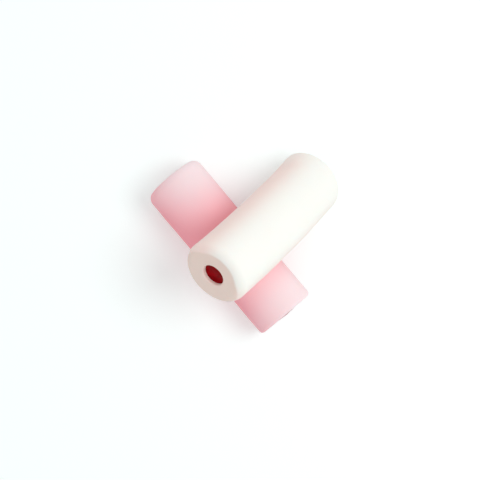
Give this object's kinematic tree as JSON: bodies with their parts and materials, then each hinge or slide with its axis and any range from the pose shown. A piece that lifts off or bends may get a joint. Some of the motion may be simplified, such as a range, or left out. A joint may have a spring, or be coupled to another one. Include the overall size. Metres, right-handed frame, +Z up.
{
  "type": "jam-filled marshmallow sticks",
  "caption": "Soft round marshmallow sticks with a red jam core: a white stick leans across a pink stick and shows its cut end.",
  "frame": {"origin": "on the ground, at the middle of the box round both sticks", "axes": "+X along the pink stick, +Y towards the foot of the white stick, +Z up"},
  "size_m": [0.0628, 0.0592, 0.0543],
  "materials": {
    "pink_mallow": "matte, soft pink foam with a fine dusting",
    "white_mallow": "matte, soft cream-white foam with a fine dusting",
    "jam": "dark red jam with a soft, moist gloss"
  },
  "bodies": {
    "root": {"pink_mallow": "pink_mallow", "pink_filling": "jam", "white_mallow": "white_mallow", "white_filling": "jam"}
  },
  "joints": []
}
